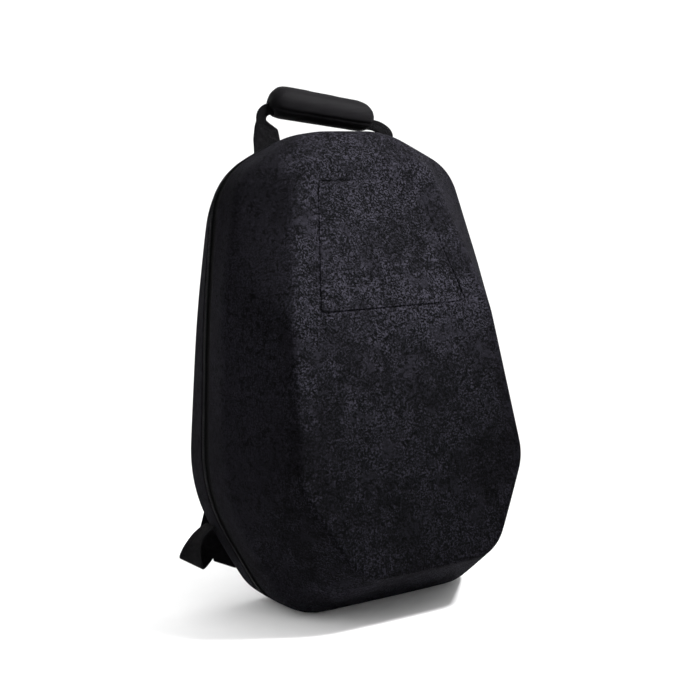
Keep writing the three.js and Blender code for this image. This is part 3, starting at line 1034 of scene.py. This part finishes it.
class Handle(bpy.types.Operator):
    """Handle: webbing folded narrow above its anchors, and the padded grip round it"""

    bl_idname = "backpack.handle"
    bl_label = "Handle"

    def execute(self, context):
        straps = context.scene.backpack_straps
        self.webbing(straps)
        self.grip(straps)
        return {"FINISHED"}

    def webbing(self, straps):
        """One band, with one side folded behind the other where it narrows."""
        layer = straps.webbing_thickness
        rows = []
        for centre, across, facing, (width,) in stations(spread(HANDLE_ROWS, 6)):
            half = width * MM / 2
            fold = min((HANDLE_WIDE - width) / (HANDLE_WIDE - HANDLE_NARROW), 1)
            behind = (HANDLE_HEM + fold * (width - FOLD_SHORT)) * MM
            front = [(-half + 2 * half * k / 4, layer * 0.6 * fold) for k in range(5)]
            back = [(half - behind * k / 3, -layer * (0.5 + 0.1 * fold)) for k in range(4)]
            rows.append([centre + across * u + facing * v for u, v in front + back])
        piece = ribbon("handle_webbing", rows)
        modify(piece, "SOLIDIFY", thickness=layer * 0.8, offset=0)
        subdivide(piece, 1)
        smooth(piece, 60)
        settle(piece, webbing_cloth(straps), "webbing", "handle_strap")

    def grip(self, straps):
        """Roll of padding round the webbing."""
        piece = copy_of("handle_grip", "grip_roll")
        stuff(piece, voxel=0.004, shrink=0.0, cap=straps.grip_swell, levels=2)
        self.tailor(piece)
        colour = straps.grip_colour
        material = padded_cloth("satin_cloth", colour, rough=0.6, scale=420.0, stretch=(0.25, 1, 1))
        settle(piece, material, "grip_cloth", "handle_grip")

    def tailor(self, piece):
        """Gives the roll its lapped seam, a fuller left end, sloping shoulders and a flatter underside."""
        centre = at(*GRIP_CENTRE)
        axis = Matrix.Rotation(GRIP_TILT, 3, "Y") @ Vector((1, 0, 0))
        upwards = Vector((0, -1, 0)).cross(axis).normalized()
        for vertex in piece.data.vertices:
            spot = vertex.co - centre
            run = spot.dot(axis)
            out = spot - axis * run
            angle = math.atan2(out.dot(upwards), -out.y)
            rise = math.sin(angle)
            lap = (angle - SEAM_ANGLE) * out.length
            groove = math.exp(-((lap / SEAM_WIDTH) ** 2)) * SEAM_DEPTH
            raised = math.exp(-lap / LAP_FADE) * LAP_RISE if lap > 0 else 0
            fullness = out.length * (FULL_MIDDLE - FULL_TAPER * run / GRIP_HALF)
            fullness *= min(1 + rise * FULL_BELOW, 1)
            end = max(abs(run) / GRIP_HALF - SHOULDER_START, 0) / (1 - SHOULDER_START)
            lift = max(-rise - UNDERSIDE_START, 0) * UNDERSIDE_LIFT
            drop = max(rise, 0) * SHOULDER_DROP * end**2
            vertex.co += out.normalized() * (raised - groove + fullness) + upwards * (lift - drop)


class ShoulderPads(bpy.types.Operator):
    """Shoulder pads: filled cloth with a bound edge down each side"""

    bl_idname = "backpack.shoulder_pads"
    bl_label = "Shoulder Pads"

    def execute(self, context):
        straps = context.scene.backpack_straps
        cloth = padded_cloth("matt_cloth", straps.pad_colour, rough=0.85, scale=700.0, stretch=(1, 1, 1))
        for side, rows in (("right", PAD_ROWS), ("left", mirrored(PAD_ROWS))):
            node_name = "shoulder_pad_" + side
            piece = copy_of(node_name, "pad_" + side)
            stuff(piece, voxel=0.005, shrink=0.0025, cap=straps.pad_swell, levels=1)
            settle(piece, cloth, "strap_cloth", node_name)
            for edge, hand in (("inner", -1), ("outer", 1)):
                self.binding(f"binding_{edge}_{side}", rows, hand, straps)
        return {"FINISHED"}

    def binding(self, name, rows, hand, straps):
        """Woven tape folded round one edge of a pad."""
        strips = []
        for centre, across, facing, (width, thick) in stations(spread(rows, 5)):
            half = width * MM / 2
            lift = thick * MM / 2
            turned = [(half + past, lift * share) for past, share in BINDING_ROWS]
            turned += [(u, -v) for u, v in reversed(turned[:-1])]
            strips.append([centre + across * (hand * u) + facing * v for u, v in turned])
        piece = ribbon(name, strips)
        modify(piece, "SOLIDIFY", thickness=0.001, offset=0)
        subdivide(piece, 1)
        smooth(piece, 60)
        settle(piece, webbing_cloth(straps), "webbing")


class StrapWebs(bpy.types.Operator):
    """Webbing from the pads through the adjusters to the sides of the back shell"""

    bl_idname = "backpack.strap_webs"
    bl_label = "Strap Webs"

    def execute(self, context):
        straps = context.scene.backpack_straps
        for side, turned in (("right", tuple), ("left", mirrored)):
            self.band("web_" + side, turned(WEB_ROWS), straps, "strap_web_" + side)
            self.band("tail_" + side, turned(TAIL_ROWS), straps)
        return {"FINISHED"}

    def band(self, name, rows, straps, *nodes):
        """One flat band with softened edges."""
        strips = []
        for centre, across, facing, (twist,) in stations(spread(rows, 6)):
            swing = math.radians(twist)
            sideways = across * math.cos(swing) + Vector((0, math.sin(swing), 0))
            strips.append([centre + sideways * (straps.webbing_width * (k / 6 - 0.5)) for k in range(7)])
        piece = ribbon(name, strips)
        modify(piece, "SOLIDIFY", thickness=straps.webbing_thickness, offset=0)
        modify(piece, "BEVEL", width=0.0005, segments=2, limit_method="ANGLE")
        smooth(piece, 40)
        settle(piece, webbing_cloth(straps), "webbing", *nodes)


class Adjusters(bpy.types.Operator):
    """Strap adjusters with softened edges"""

    bl_idname = "backpack.adjusters"
    bl_label = "Adjusters"

    def execute(self, context):
        straps = context.scene.backpack_straps
        for side in ("right", "left"):
            piece = softened("adjuster_" + side, "ladder_" + side, 0.0009)
            settle(piece, black_plastic(straps), "black_plastic", "adjuster_" + side)
        return {"FINISHED"}


class Stage(bpy.types.Operator):
    """Pale floor that rises into a backdrop, a soft light, an even sky and the camera"""

    bl_idname = "backpack.stage"
    bl_label = "Stage"

    def execute(self, context):
        stage = context.scene.backpack_stage
        self.floor(stage)
        self.light(stage)
        self.sky(context.scene, stage)
        self.camera(context.scene, stage)
        context.scene.view_settings.view_transform = "Standard"
        return {"FINISHED"}

    def floor(self, stage):
        """Round floor with a rising rim."""
        turns = [2 * math.pi * k / FLOOR_STEPS for k in range(FLOOR_STEPS)]
        rings = []
        for radius, height in FLOOR_ROWS:
            rings.append([Vector((radius * math.cos(t), radius * math.sin(t), height)) for t in turns])
        piece = ring_sheet("floor", rings)
        pick_level(piece, 0)
        bpy.ops.mesh.edge_face_add()
        close_edit()
        smooth(piece, 60)
        piece.data.materials.append(pale_floor("pale_floor", stage.floor))

    def light(self, stage):
        """A square soft light from the upper right, turned towards the front."""
        turn = (Vector(stage.key_place) - Vector(stage.key_aim)).to_track_quat("Z", "Y").to_euler()
        bpy.ops.object.light_add(type="AREA", location=stage.key_place, rotation=turn)
        lamp = named("key_light")
        lamp.data.size = stage.key_size
        lamp.data.energy = stage.key
        lamp.data.spread = stage.key_spread
        lamp.visible_camera = False

    def sky(self, scene, stage):
        """Even white light from all round."""
        world = bpy.data.worlds.new("even_light")
        world.use_nodes = True
        background = world.node_tree.nodes["Background"].inputs
        background["Color"].default_value = (1, 1, 1, 1)
        background["Strength"].default_value = stage.sky
        scene.world = world

    def camera(self, scene, stage):
        """Camera at its angles and distance from the point that it looks at."""
        turn = (
            Matrix.Rotation(stage.azimuth, 3, "Z")
            @ Matrix.Rotation(math.pi / 2 - stage.elevation, 3, "X")
            @ Matrix.Rotation(stage.roll, 3, "Z")
        )
        place = at(*CAMERA_AIM) + turn.col[2] * stage.distance
        bpy.ops.object.camera_add(location=place, rotation=turn.to_euler())
        camera = named("camera")
        camera.data.sensor_width = 36
        camera.data.lens = stage.lens
        scene.camera = camera


PIECES = (FrontShell, BackShell, Zip, Handle, ShoulderPads, StrapWebs, Adjusters, Stage)
SETTINGS = {
    "backpack_shell": ShellSettings,
    "backpack_zip": ZipSettings,
    "backpack_straps": StrapSettings,
    "backpack_stage": StageSettings,
}


class BackpackPanel(bpy.types.Panel):
    """Lists the backpack's settings, and its pieces in the order that they are made"""

    bl_idname = "VIEW3D_PT_backpack"
    bl_label = "Backpack"
    bl_space_type = "VIEW_3D"
    bl_region_type = "UI"
    bl_category = "Backpack"

    def draw(self, context):
        for name, group in SETTINGS.items():
            box = self.layout.box()
            box.label(text=group.__doc__)
            for setting in group.__annotations__:
                box.prop(getattr(context.scene, name), setting)
        for piece in PIECES:
            self.layout.operator(piece.bl_idname)


def register():
    """Adds the backpack's classes and its settings."""
    for made in (*SETTINGS.values(), *PIECES, BackpackPanel):
        bpy.utils.register_class(made)
    for name, group in SETTINGS.items():
        setattr(bpy.types.Scene, name, bpy.props.PointerProperty(type=group))


def unregister():
    """Takes the settings and classes away again."""
    for name in SETTINGS:
        delattr(bpy.types.Scene, name)
    for made in (BackpackPanel, *PIECES, *SETTINGS.values()):
        bpy.utils.unregister_class(made)


def main():
    """Registers the add-on's classes and makes every piece in order."""
    register()
    bpy.ops.backpack.front_shell()
    bpy.ops.backpack.back_shell()
    bpy.ops.backpack.zip()
    bpy.ops.backpack.handle()
    bpy.ops.backpack.shoulder_pads()
    bpy.ops.backpack.strap_webs()
    bpy.ops.backpack.adjusters()
    bpy.ops.backpack.stage()


if __name__ == "__main__":
    main()
